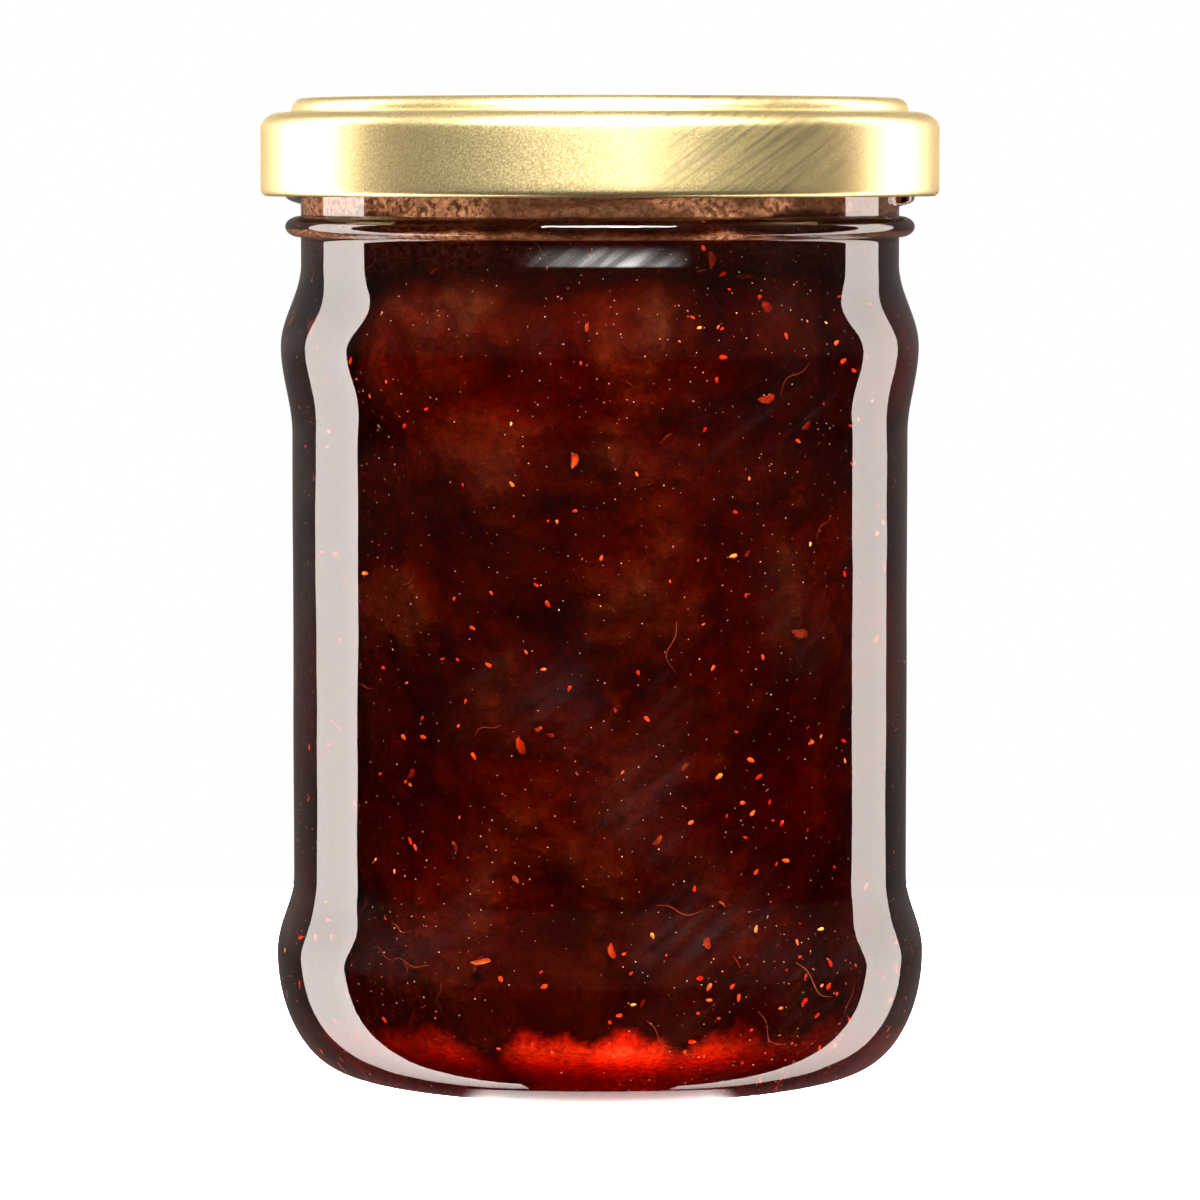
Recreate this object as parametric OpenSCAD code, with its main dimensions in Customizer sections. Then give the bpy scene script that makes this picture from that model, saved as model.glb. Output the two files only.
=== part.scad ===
// Jam jar: a round glass jar with a bulge above and below its label panel, filled with jam
// and closed by a shallow twist-off lid. Origin at the middle of the base, +Z up, millimetres.

/* [Jar body] */
// Height of the glass, from the bearing ring to the rim
jar_h = 104.6; // [85:0.2:150]
// Outer diameter of the straight label panel
panel_d = 67.1; // [60:0.2:86]
// Outer diameter of the upper bulge
upper_d = 69.5; // [66:0.1:90]
// Outer diameter of the lower bulge
lower_d = 70.8; // [66:0.1:90]
// Thickness of the side wall
wall = 2.3; // [1.5:0.1:3.5]
// Height of the rounded heel, up to the widest line of the lower bulge
heel_h = 12.8; // [9:0.2:18]
// How far the heel turns in from the lower bulge to the bearing ring
heel_in = 8; // [5:0.2:12]
// Height over which the lower bulge narrows to the label panel
lower_flare_h = 8.5; // [5:0.5:12]
// Height over which the upper bulge narrows to the label panel
upper_flare_h = 9.5; // [5:0.5:12]
// Height of the shoulder, from the upper bulge to the neck
shoulder_h = 8.9; // [6:0.2:12]

/* [Jar base] */
// Thickness of the glass over the bearing ring
base_t = 3.2; // [2:0.1:5]
// Height of the push-up under the middle of the base
punt_h = 2.2; // [0.5:0.1:4]
// How far the floor inside rises in its middle
floor_rise = 1.2; // [0.2:0.1:2]
// Width of the flat bearing ring
ring_w = 1.4; // [0.8:0.1:3]
// How far the corner between the floor and the wall turns in
floor_corner = 9; // [5:0.5:14]

/* [Neck and threads] */
// Outer diameter of the neck
neck_d = 65.1; // [54:0.1:68]
// Height of the neck, from the shoulder to the rim
neck_h = 16.7; // [15:0.2:24]
// Thickness of the glass at the neck
neck_wall = 2.4; // [1.6:0.1:3.5]
// Radius of the rim's rounded edges
rim_r = 0.7; // [0.3:0.1:0.7]
// How far the bead ring stands out
bead_out = 1.7; // [0.8:0.05:2.5]
// Height of the bead ring
bead_h = 2.3; // [1.5:0.1:3]
// Depth of the bead ring's middle below the rim
bead_drop = 12.6; // [12:0.1:13]
// Number of thread runs, and of the lid's lugs
thread_count = 4; // [3:1:4]
// How far a thread run stands out
thread_out = 1.65; // [1:0.05:2.2]
// Height of a thread run where it meets the neck
thread_h = 1.9; // [1.4:0.1:2.2]
// Angle that one thread run covers
thread_span = 62; // [50:1:66]
// Slope of a thread run
thread_slope = 4.8; // [4:0.1:5.5]
// Turn of the first thread run's middle from the front, anticlockwise seen from above
thread_turn = 16; // [-45:1:45]

/* [Lid] */
// Gap between the thread runs and the inside of the lid's skirt
thread_gap = 2.7; // [2.2:0.05:3.2]
// Thickness of the lid's sheet
sheet = 0.35; // [0.2:0.05:0.6]
// Thickness over the rim, which is the sheet and its sealing compound
seal_t = 1.3; // [1.2:0.05:2]
// Height of the raised panel above the lid's shoulder
panel_rise = 1.5; // [1.3:0.1:2.5]
// How far the raised panel reaches past the neck
panel_over = 0.95; // [0.8:0.05:1.4]
// Radius of the raised panel's edge
panel_edge_r = 1.3; // [0.4:0.1:1.3]
// Depth of the shallow dish in the middle of the lid
dish_depth = 0.85; // [0.2:0.05:0.9]
// Width of the raised ring round the dish
dish_ring_w = 5; // [3:0.5:10]
// Width of the slope between the ring and the dish
dish_slope_w = 2.2; // [1:0.1:5]
// Width of the lid's rounded shoulder
corner_w = 2.6; // [1:0.1:2.7]
// Height of the lid's rounded shoulder
corner_h = 1.8; // [1:0.1:2.4]
// Depth of the lid's lower edge below the rim
skirt_drop = 9.3; // [8.8:0.1:9.5]
// Radius of the rolled edge
curl_r = 0.75; // [0.5:0.05:0.8]
// Thickness of a lug
lug_t = 0.5; // [0.3:0.1:0.7]
// Height of a lug's underside above the lid's lower edge
lug_lift = 0.1; // [0.1:0.05:0.3]
// Gap between a lug and the thread run over it
lug_clearance = 0.1; // [0.05:0.05:0.3]
// Gap between a lug and the neck
lug_gap = 0.75; // [0.4:0.05:1.2]
// Angle that one lug covers
lug_span = 15; // [8:1:16]
// Turn of a lug from the middle of its thread run
lug_turn = 23; // [22:1:24]

/* [Jam] */
// Depth of the jam's surface below the rim
headspace = 5.4; // [4.5:0.1:9]
// How far the jam climbs at the glass
meniscus_h = 0.7; // [0.2:0.1:1.5]
// Width of the climbing edge
meniscus_w = 3; // [1:0.5:6]
// Gap between the jam and the glass
jam_gap = 0.05; // [0.02:0.01:0.2]

/* [Hidden] */
$fn = 128;
curve_steps = 10;
thread_root = 0.4;
thread_flank = 0.5;
lug_root = 0.3;

neck_r = neck_d / 2;
upper_r = upper_d / 2;
lower_r = lower_d / 2;
panel_r = panel_d / 2;
ring_r = lower_r - heel_in;

neck_z = jar_h - neck_h;
upper_z = neck_z - shoulder_h;
bead_z = jar_h - bead_drop;
jam_z = jar_h - headspace;

lid_r = neck_r + thread_out + thread_gap;
lid_panel_r = neck_r + panel_over;
dish_r = lid_panel_r - dish_ring_w;
lid_top_z = jar_h + seal_t;
lid_shoulder_z = lid_top_z - panel_rise;
lid_low_z = jar_h - skirt_drop;
curl_top_z = lid_low_z + 2 * curl_r;
lug_z = lid_low_z + lug_lift;

// A thread run clears the top of its lug at the lug's lower end
thread_z = lug_z + lug_t + lug_clearance + thread_h / 2
    - neck_r * sin(lug_turn - lug_span / 2) * sin(thread_slope);

// Points on a smooth S from [r0, z0] to [r1, z1]
function s_curve(r0, z0, r1, z1) = [
    for (i = [0 : curve_steps])
        let (t = i / curve_steps)
        [r0 + (r1 - r0) * (1 - cos(180 * t)) / 2, z0 + (z1 - z0) * t]
];

// Points on an ellipse with its middle at [r, z], from angle a0 to a1
function bend(r, z, rx, rz, a0, a1) = [
    for (i = [0 : curve_steps])
        let (a = a0 + (a1 - a0) * i / curve_steps)
        [r + rx * cos(a), z + rz * sin(a)]
];

// Points on a shallow mound from the axis to radius r, rise high over level z
function mound(r, z, rise) = [
    for (i = [0 : curve_steps])
        let (t = i / curve_steps)
        [r * t, z + rise * (1 - t * t)]
];

// Line of the side from the lower bulge to the neck, moved in by side and, at the neck, by neck_side
function side_line(side, neck_side) = concat(
    s_curve(lower_r - side, heel_h, panel_r - side, heel_h + lower_flare_h),
    s_curve(panel_r - side, upper_z - upper_flare_h, upper_r - side, upper_z),
    [for (p = s_curve(upper_r - side, upper_z, neck_r - neck_side, neck_z)) if (p[1] > upper_z) p]
);

// Outer half-section of the glass, from the middle of the push-up to the rim
function outer_line() = concat(
    mound(ring_r - ring_w, 0, punt_h),
    bend(ring_r, heel_h, heel_in, heel_h, -90, 0),
    [for (p = side_line(0, 0)) if (p[1] > heel_h) p],
    bend(neck_r, bead_z, bead_out, bead_h / 2, -90, 90),
    bend(neck_r - rim_r, jar_h - rim_r, rim_r, rim_r, 0, 90)
);

// Inner half-section, from the middle of the floor to the neck, kept clear of the glass by gap
function inner_line(gap) =
    let (
        side = wall + gap,
        floor_z = base_t + gap,
        corner_x = lower_r - side - floor_corner
    )
    concat(
        [for (p = mound(corner_x, floor_z, floor_rise)) if (p[0] < corner_x) p],
        bend(corner_x, heel_h, floor_corner, heel_h - floor_z, -90, 0),
        [for (p = side_line(side, neck_wall + gap)) if (p[1] > heel_h) p]
    );

function reversed(points) = [for (i = [len(points) - 1 : -1 : 0]) points[i]];

// One sloping run of the screw thread, its middle over +X; its flanks run on into the neck
module thread_run() {
    crest_half = thread_h / 2 - thread_flank;
    root_half = thread_h / 2 + thread_flank * thread_root / thread_out;
    rotate([thread_slope, 0, 0])
        rotate([0, 0, -thread_span / 2])
            rotate_extrude(angle = thread_span)
                polygon([
                    [neck_r - thread_root, -root_half],
                    [neck_r + thread_out, -crest_half],
                    [neck_r + thread_out, crest_half],
                    [neck_r - thread_root, root_half]
                ]);
}

// Places its children once over each thread run
module at_threads() {
    for (i = [0 : thread_count - 1])
        rotate([0, 0, i * 360 / thread_count + thread_turn - 90]) children();
}

module jar() {
    bore_r = neck_r - neck_wall;
    color("lightcyan") {
        rotate_extrude()
            polygon(concat(
                outer_line(),
                bend(bore_r + rim_r, jar_h - rim_r, rim_r, rim_r, 90, 180),
                reversed(inner_line(0))
            ));
        at_threads() translate([0, 0, thread_z]) thread_run();
    }
}

// Inward fold of the rolled edge that holds under a thread run, its middle over +X
module lug() {
    inner_r = neck_r + lug_gap;
    rotate([0, 0, -lug_span / 2])
        rotate_extrude(angle = lug_span)
            translate([inner_r, lug_z])
                square([lid_r - curl_r - lug_root - inner_r, lug_t]);
}

module lid() {
    seat_r = lid_panel_r - sheet;
    corner_x = lid_r - corner_w;
    corner_z = lid_shoulder_z - corner_h;
    dish_low_z = lid_top_z - dish_depth;
    dish = s_curve(dish_low_z, dish_r - dish_slope_w, lid_top_z, dish_r);
    color("darkkhaki") {
        rotate_extrude()
            polygon(concat(
                [[0, dish_low_z]],
                [for (p = dish) [p[1], p[0]]],
                bend(lid_panel_r - panel_edge_r, lid_top_z - panel_edge_r, panel_edge_r, panel_edge_r, 90, 0),
                [[lid_panel_r, lid_shoulder_z]],
                bend(corner_x, corner_z, corner_w, corner_h, 90, 0),
                bend(lid_r - curl_r, lid_low_z + curl_r, curl_r, curl_r, 0, -270),
                [[lid_r - sheet, curl_top_z + sheet]],
                bend(corner_x, corner_z, corner_w - sheet, corner_h - sheet, 0, 90),
                [[seat_r, lid_shoulder_z - sheet], [seat_r, jar_h], [0, jar_h]]
            ));
        at_threads() rotate([0, 0, lug_turn]) lug();
    }
}

module jam() {
    edge_r = neck_r - neck_wall - jam_gap;
    color("maroon")
        rotate_extrude()
            polygon(concat(
                inner_line(jam_gap),
                [for (t = [0 : 1 / curve_steps : 1])
                    [edge_r - meniscus_w * t, jam_z + meniscus_h * pow(1 - t, 2)]],
                [[0, jam_z]]
            ));
}

jar();
lid();
jam();
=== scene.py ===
"""A glass jam jar under a gold twist-off lid: glass, jam with its fruit and seeds, and the studio round it.

Every size is kept in the drawing's millimetres and turned into metres by the frame's own height.
"""
import logging
import math
from collections.abc import Mapping, Sequence
from dataclasses import dataclass, field
from enum import Enum
from functools import cached_property

import bpy
import numpy as np
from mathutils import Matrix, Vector, noise


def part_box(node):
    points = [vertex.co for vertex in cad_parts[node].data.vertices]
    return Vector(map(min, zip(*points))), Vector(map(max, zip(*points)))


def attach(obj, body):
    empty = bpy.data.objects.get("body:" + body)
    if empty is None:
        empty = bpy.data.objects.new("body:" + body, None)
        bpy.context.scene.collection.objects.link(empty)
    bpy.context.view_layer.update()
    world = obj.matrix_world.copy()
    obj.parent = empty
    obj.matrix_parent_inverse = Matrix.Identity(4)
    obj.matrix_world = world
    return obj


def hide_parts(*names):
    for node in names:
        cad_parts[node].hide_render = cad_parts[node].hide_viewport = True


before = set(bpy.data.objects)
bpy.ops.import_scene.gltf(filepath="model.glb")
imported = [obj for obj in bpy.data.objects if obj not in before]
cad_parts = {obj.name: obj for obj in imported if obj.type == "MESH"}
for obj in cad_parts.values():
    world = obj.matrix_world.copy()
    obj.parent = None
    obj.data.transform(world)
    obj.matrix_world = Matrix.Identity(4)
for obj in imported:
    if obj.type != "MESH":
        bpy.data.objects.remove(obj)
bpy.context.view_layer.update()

BODY = "root"
LOG = logging.getLogger("jam_jar")

Socket = bpy.types.NodeSocket
Point = tuple[float, float]
Points = list[Point]
Colour = tuple[float, float, float]


class Slot(Enum):
    """The record's material slots."""

    GLASS = "glass"
    LID = "gold_lacquer"
    JAM = "jam"


@dataclass(frozen=True)
class Scale:
    """Turns the drawing's millimetres into the frame's metres."""

    drawn_height: float = 104.6

    @cached_property
    def unit(self) -> float:
        """One drawn millimetre in metres."""
        low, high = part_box("jar")
        return (high.z - low.z) / self.drawn_height

    def metres(self, size: float) -> float:
        """Size in metres of a drawn size in millimetres."""
        return size * self.unit

    def span(self, sizes: tuple[float, float]) -> tuple[float, float]:
        """Both ends of a drawn span, in metres."""
        return self.metres(sizes[0]), self.metres(sizes[1])


SCALE = Scale()


# ---------------------------------------------------------------- node trees


class TreeWriter:
    """Adds nodes to one tree and wires or sets their inputs by name or number."""

    def __init__(self, tree: bpy.types.NodeTree) -> None:
        """Keeps the tree to write in."""
        self.tree = tree

    def add(self, kind: str, inputs: Mapping[str | int, object] | None = None,
            **settings: object) -> bpy.types.Node:
        """Adds one node.

        Args:
            kind: The node's type name.
            inputs: Values or sockets to join, by the input's name or index.
            **settings: Properties of the node itself.

        Returns:
            The new node.
        """
        node = self.tree.nodes.new(kind)
        for name, value in settings.items():
            setattr(node, name, value)
        self.dress(node, inputs or {})
        return node

    def dress(self, node: bpy.types.Node, inputs: Mapping[str | int, object]) -> None:
        """Joins or sets several inputs of one node.

        Args:
            node: The node.
            inputs: Values or sockets to join, by the input's name or index.
        """
        for key, value in inputs.items():
            self.feed(node.inputs[key], value)

    def feed(self, target: Socket, value: object) -> None:
        """Joins value to target if it is a socket, or else sets it.

        Args:
            target: The input.
            value: A socket to join, or a plain value.
        """
        if isinstance(value, bpy.types.NodeSocket):
            self.tree.links.new(value, target)
        else:
            target.default_value = value

    def math(self, operation: str, *values: object) -> Socket:
        """One Math node's result."""
        return self.add("ShaderNodeMath", dict(enumerate(values)), operation=operation).outputs[0]

    def times(self, first: object, second: object) -> Socket:
        """First multiplied by second."""
        return self.math("MULTIPLY", first, second)

    def plus(self, first: object, second: object) -> Socket:
        """First and second together."""
        return self.math("ADD", first, second)

    def vector(self, operation: str, *values: object) -> Socket:
        """One Vector Math node's vector result."""
        return self.add("ShaderNodeVectorMath", dict(enumerate(values)), operation=operation).outputs[0]

    def axes(self, place: Socket) -> bpy.types.NodeOutputs:
        """The X, Y and Z parts of a place."""
        return self.add("ShaderNodeSeparateXYZ", {0: place}).outputs

    def attribute(self, name: str) -> Socket:
        """A number that the mesh keeps for each vertex."""
        return self.add("ShaderNodeAttribute", attribute_name=name).outputs["Fac"]

    def bump(self, height: Socket, strength: float, depth: float) -> Socket:
        """A normal tilted by relief of a given depth, in drawn millimetres."""
        return self.add("ShaderNodeBump", {"Height": height, "Strength": strength,
                                           "Distance": SCALE.metres(depth)}).outputs[0]

    def mix(self, share: Socket, first: Socket, second: Socket) -> Socket:
        """Shader that goes from first to second as share goes from 0 to 1."""
        return self.add("ShaderNodeMixShader", {0: share, 1: first, 2: second}).outputs[0]

    def blend(self, share: object, first: object, second: object, mode: str = "MIX") -> Socket:
        """Colour that goes from first to second as share goes from 0 to 1.

        Args:
            share: A number or its socket.
            first: A colour or its socket.
            second: A colour or its socket.
            mode: How the second is laid over the first.

        Returns:
            The colour's socket.
        """
        node = self.add("ShaderNodeMix", data_type="RGBA", blend_type=mode)
        sockets = [s for s in node.inputs if s.enabled]
        for target, value in zip(sockets, (share, first, second), strict=True):
            self.feed(target, value if isinstance(value, bpy.types.NodeSocket) or target.type == "VALUE"
                      else (*value, 1.0))
        return next(s for s in node.outputs if s.enabled)

    def ramp(self, value: Socket, low: float, high: float, bottom: float = 0.0, top: float = 1.0) -> Socket:
        """Value carried from low..high to bottom..top by a smooth step.

        Args:
            value: The value to carry.
            low: Value that gives bottom.
            high: Value that gives top.
            bottom: Result at and under low.
            top: Result at and over high.

        Returns:
            The result's socket.
        """
        node = self.add("ShaderNodeMapRange", interpolation_type="SMOOTHSTEP")
        for name, given in zip(("Value", "From Min", "From Max", "To Min", "To Max"),
                               (value, low, high, bottom, top), strict=True):
            self.feed(node.inputs[name], given)
        return node.outputs["Result"]


def new_group(name: str, kind: str, takes: Mapping[str, tuple[str, object]],
              gives: Mapping[str, str]) -> tuple[TreeWriter, bpy.types.Node, bpy.types.Node]:
    """Starts a node group with named inputs and outputs.

    Args:
        name: The group's name.
        kind: ShaderNodeTree or GeometryNodeTree.
        takes: Each input's socket type and default, or None for no default.
        gives: Each output's socket type.

    Returns:
        A writer for the group, its input node and its output node.
    """
    tree = bpy.data.node_groups.new(name, kind)
    for label, (socket_type, default) in takes.items():
        made = tree.interface.new_socket(label, in_out="INPUT", socket_type=socket_type)
        if default is not None:
            made.default_value = default
    for label, socket_type in gives.items():
        tree.interface.new_socket(label, in_out="OUTPUT", socket_type=socket_type)
    writer = TreeWriter(tree)
    return writer, writer.add("NodeGroupInput"), writer.add("NodeGroupOutput")


# ------------------------------------------------------------- section lines


def arc(middle: Point, size: Point, start: float, end: float, steps: int) -> Points:
    """Points on an ellipse.

    Args:
        middle: Radius and height of its middle.
        size: Its half-axes, across and up.
        start: First angle in degrees.
        end: Last angle in degrees.
        steps: Number of steps between them.

    Returns:
        Points as (radius, height), both ends included.
    """
    angles = np.radians(np.linspace(start, end, steps + 1))
    return [(middle[0] + size[0] * math.cos(a), middle[1] + size[1] * math.sin(a)) for a in angles]


def s_curve(start: Point, end: Point, steps: int) -> Points:
    """Points on a smooth S whose ends are upright, both ends included."""
    shares = np.linspace(0, 1, steps + 1)
    return [(start[0] + (end[0] - start[0]) * (1 - math.cos(math.pi * t)) / 2,
             start[1] + (end[1] - start[1]) * t) for t in shares]


def straight(start: Point, end: Point, steps: int) -> Points:
    """Points on a straight line, both ends included."""
    return [(start[0] + (end[0] - start[0]) * t, start[1] + (end[1] - start[1]) * t)
            for t in np.linspace(0, 1, steps + 1)]


def mound(radius: float, level: float, rise: float, steps: int) -> Points:
    """Points on a shallow mound from the axis out to radius."""
    return [(radius * t, level + rise * (1 - t * t)) for t in np.linspace(0, 1, steps + 1)]


def joined(*runs: Points) -> Points:
    """Runs of points put end to end, without points that repeat.

    Args:
        *runs: The runs, each starting where the last one ends.

    Returns:
        One run.
    """
    line: Points = []
    for point in (p for run in runs for p in run):
        if not line or math.dist(line[-1], point) > 1e-4:
            line.append(point)
    return line


# ------------------------------------------------------------------- meshes


def mesh_object(name: str, vertices: np.ndarray | Sequence, faces: Sequence = (),
                edges: Sequence = ()) -> bpy.types.Object:
    """Makes an object at the origin and links it to the scene.

    Args:
        name: The object's name.
        vertices: Its vertices, in metres.
        faces: Its faces, as rows of vertex numbers.
        edges: Its loose edges, as pairs of vertex numbers.

    Returns:
        The new object.
    """
    mesh = bpy.data.meshes.new(name)
    mesh.from_pydata([tuple(v) for v in vertices], [tuple(e) for e in edges], [tuple(f) for f in faces])
    mesh.update()
    made = bpy.data.objects.new(name, mesh)
    bpy.context.scene.collection.objects.link(made)
    return made


def tube_faces(around: int, rows: int) -> list[tuple[int, ...]]:
    """Faces of a tube whose vertices go up in columns, one column after another round the axis.

    Args:
        around: Number of columns.
        rows: Vertices in each column.

    Returns:
        The faces, all facing outwards.
    """
    return [(i * rows + j, (i + 1) % around * rows + j, (i + 1) % around * rows + j + 1, i * rows + j + 1)
            for i in range(around) for j in range(rows - 1)]


def run_geometry_nodes(host: bpy.types.Object, tree: bpy.types.NodeTree,
                       values: Mapping[str, object]) -> None:
    """Runs a Geometry Nodes tree on host and keeps its result as host's plain mesh.

    Args:
        host: The object whose mesh is the tree's first input.
        tree: The tree to run.
        values: The tree's named inputs.
    """
    modifier = host.modifiers.new(tree.name, "NODES")
    modifier.node_group = tree
    names = {item.name: item.identifier for item in tree.interface.items_tree if item.in_out == "INPUT"}
    for name, value in values.items():
        modifier[names[name]] = value
    host.update_tag()
    bpy.context.view_layer.update()
    evaluated = host.evaluated_get(bpy.context.evaluated_depsgraph_get())
    plain = bpy.data.meshes.new_from_object(evaluated)
    host.modifiers.remove(modifier)
    old, host.data = host.data, plain
    plain.name = host.name
    bpy.data.meshes.remove(old)
    plain.materials.clear()
    plain.materials.append(values["Material"])
    plain.polygons.foreach_set("material_index", [0] * len(plain.polygons))


def coordinates(target: bpy.types.Object) -> np.ndarray:
    """The object's vertices as an array."""
    found = np.empty(len(target.data.vertices) * 3, np.float64)
    target.data.vertices.foreach_get("co", found)
    return found.reshape(-1, 3)


def set_coordinates(target: bpy.types.Object, places: np.ndarray) -> None:
    """Moves the object's vertices to places."""
    target.data.vertices.foreach_set("co", places.astype(np.float32).ravel())
    target.data.update()


def store(target: bpy.types.Object, name: str, values: np.ndarray) -> None:
    """Keeps one number for each vertex.

    Args:
        target: The object.
        name: The attribute's name.
        values: The numbers, in the vertices' order.
    """
    layer = target.data.attributes.new(name, "FLOAT", "POINT")
    layer.data.foreach_set("value", values.astype(np.float32))


def revolve_tree() -> bpy.types.NodeTree:
    """Tree that turns a line of points in the XZ plane once round the Z axis.

    Returns:
        The new tree.
    """
    write, given, result = new_group(
        "Revolve", "GeometryNodeTree",
        {"Line": ("NodeSocketGeometry", None), "Segments": ("NodeSocketInt", 128),
         "Merge Gap": ("NodeSocketFloat", 1e-6), "Material": ("NodeSocketMaterial", None)},
        {"Geometry": "NodeSocketGeometry"})
    size = write.add("GeometryNodeAttributeDomainSize", {"Geometry": given.outputs["Line"]})
    rows = size.outputs["Point Count"]
    columns = write.plus(given.outputs["Segments"], 1)
    grid = write.add("GeometryNodeMeshGrid", {"Vertices X": columns, "Vertices Y": rows})
    index = write.add("GeometryNodeInputIndex").outputs[0]
    row = write.math("MODULO", index, rows)
    column = write.math("FLOOR", write.math("DIVIDE", write.plus(index, 0.5), rows))
    angle = write.times(write.math("DIVIDE", column, given.outputs["Segments"]), math.tau)
    place = write.add("GeometryNodeInputPosition").outputs[0]
    sample = write.add("GeometryNodeSampleIndex", {"Geometry": given.outputs["Line"]},
                       data_type="FLOAT_VECTOR")
    write.feed(next(s for s in sample.inputs if s.name == "Value" and s.enabled), place)
    write.feed(sample.inputs["Index"], row)
    drawn = write.axes(next(s for s in sample.outputs if s.enabled))
    turned = write.add("ShaderNodeCombineXYZ", {
        "X": write.times(drawn["X"], write.math("COSINE", angle)),
        "Y": write.times(drawn["X"], write.math("SINE", angle)),
        "Z": drawn["Z"]})
    moved = write.add("GeometryNodeSetPosition",
                      {"Geometry": grid.outputs["Mesh"], "Position": turned.outputs[0]})
    merged = write.add("GeometryNodeMergeByDistance",
                       {"Geometry": moved.outputs[0], "Distance": given.outputs["Merge Gap"]})
    smooth = write.add("GeometryNodeSetShadeSmooth", {"Geometry": merged.outputs[0]})
    plain = write.add("GeometryNodeRealizeInstances", {"Geometry": smooth.outputs[0]})
    dressed = write.add("GeometryNodeSetMaterial",
                        {"Geometry": plain.outputs[0], "Material": given.outputs["Material"]})
    write.feed(result.inputs["Geometry"], dressed.outputs[0])
    return write.tree


def scatter_tree() -> bpy.types.NodeTree:
    """Tree that strews copies of a small shape under a surface and makes them one mesh.

    Returns:
        The new tree.
    """
    write, given, result = new_group(
        "Scatter", "GeometryNodeTree",
        {"Surface": ("NodeSocketGeometry", None), "Shape": ("NodeSocketObject", None),
         "Density": ("NodeSocketFloat", 1.0), "Patchiness": ("NodeSocketFloat", 0.5),
         "Patch Scale": ("NodeSocketFloat", 60.0), "Shallowest": ("NodeSocketFloat", 0.0),
         "Deepest": ("NodeSocketFloat", 0.001), "Depth Power": ("NodeSocketFloat", 1.0),
         "Smallest": ("NodeSocketFloat", 0.8), "Largest": ("NodeSocketFloat", 1.2),
         "Tumble": ("NodeSocketFloat", 1.0), "Seed": ("NodeSocketInt", 1),
         "Material": ("NodeSocketMaterial", None)},
        {"Geometry": "NodeSocketGeometry"})
    get = given.outputs
    place = write.add("GeometryNodeInputPosition").outputs[0]
    cloud = write.add("ShaderNodeTexNoise", {"Vector": place, "Scale": get["Patch Scale"], "Detail": 1.0})
    patch = write.ramp(cloud.outputs[0], 0.42, 0.58, write.math("SUBTRACT", 1.0, get["Patchiness"]), 1.0)
    spread = write.add("GeometryNodeDistributePointsOnFaces",
                       {"Mesh": get["Surface"], "Density": write.times(get["Density"], patch),
                        "Seed": get["Seed"]})

    def random(low: object, high: object, offset: int, kind: str = "FLOAT") -> Socket:
        """A random value for each point.

        Args:
            low: Its least value.
            high: Its greatest value.
            offset: Added to the tree's seed.
            kind: Type of the value.

        Returns:
            The value's socket.
        """
        node = write.add("FunctionNodeRandomValue", data_type=kind)
        write.feed(node.inputs["Seed"], write.plus(get["Seed"], offset))
        for label, value in (("Min", low), ("Max", high)):
            write.feed(next(s for s in node.inputs if s.name == label and s.enabled), value)
        return next(s for s in node.outputs if s.enabled)

    share = write.math("POWER", random(0.0, 1.0, 11), get["Depth Power"])
    band = write.math("SUBTRACT", get["Deepest"], get["Shallowest"])
    depth = write.plus(get["Shallowest"], write.times(band, share))
    sunk = write.add("ShaderNodeVectorMath", {0: spread.outputs["Normal"]}, operation="SCALE")
    write.feed(sunk.inputs["Scale"], write.times(depth, -1.0))
    moved = write.add("GeometryNodeSetPosition",
                      {"Geometry": spread.outputs["Points"], "Offset": sunk.outputs[0]})
    noted = write.add("GeometryNodeStoreNamedAttribute",
                      {"Geometry": moved.outputs[0], "Name": "tone"}, data_type="FLOAT", domain="POINT")
    write.feed(next(s for s in noted.inputs if s.name == "Value" and s.enabled), random(0.0, 1.0, 23))
    deep = write.add("GeometryNodeStoreNamedAttribute",
                     {"Geometry": noted.outputs[0], "Name": "depth"}, data_type="FLOAT", domain="POINT")
    write.feed(next(s for s in deep.inputs if s.name == "Value" and s.enabled), depth)
    tilt = write.times(get["Tumble"], math.pi / 2)
    back = write.times(tilt, -1.0)
    low = write.add("ShaderNodeCombineXYZ", {"X": back, "Y": back, "Z": -math.pi})
    high = write.add("ShaderNodeCombineXYZ", {"X": tilt, "Y": tilt, "Z": math.pi})
    tumbled = random(low.outputs[0], high.outputs[0], 37, "FLOAT_VECTOR")
    facing = write.add("FunctionNodeRotateRotation", {0: spread.outputs["Rotation"]}, rotation_space="LOCAL")
    write.feed(facing.inputs[1], write.add("FunctionNodeEulerToRotation", {0: tumbled}).outputs[0])
    shape = write.add("GeometryNodeObjectInfo", {"Object": get["Shape"]})
    copies = write.add("GeometryNodeInstanceOnPoints",
                       {"Points": deep.outputs[0], "Instance": shape.outputs["Geometry"],
                        "Rotation": facing.outputs[0], "Scale": random(get["Smallest"], get["Largest"], 53)})
    plain = write.add("GeometryNodeRealizeInstances", {"Geometry": copies.outputs[0]})
    smooth = write.add("GeometryNodeSetShadeSmooth", {"Geometry": plain.outputs[0]})
    dressed = write.add("GeometryNodeSetMaterial",
                        {"Geometry": smooth.outputs[0], "Material": get["Material"]})
    write.feed(result.inputs["Geometry"], dressed.outputs[0])
    return write.tree


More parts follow.
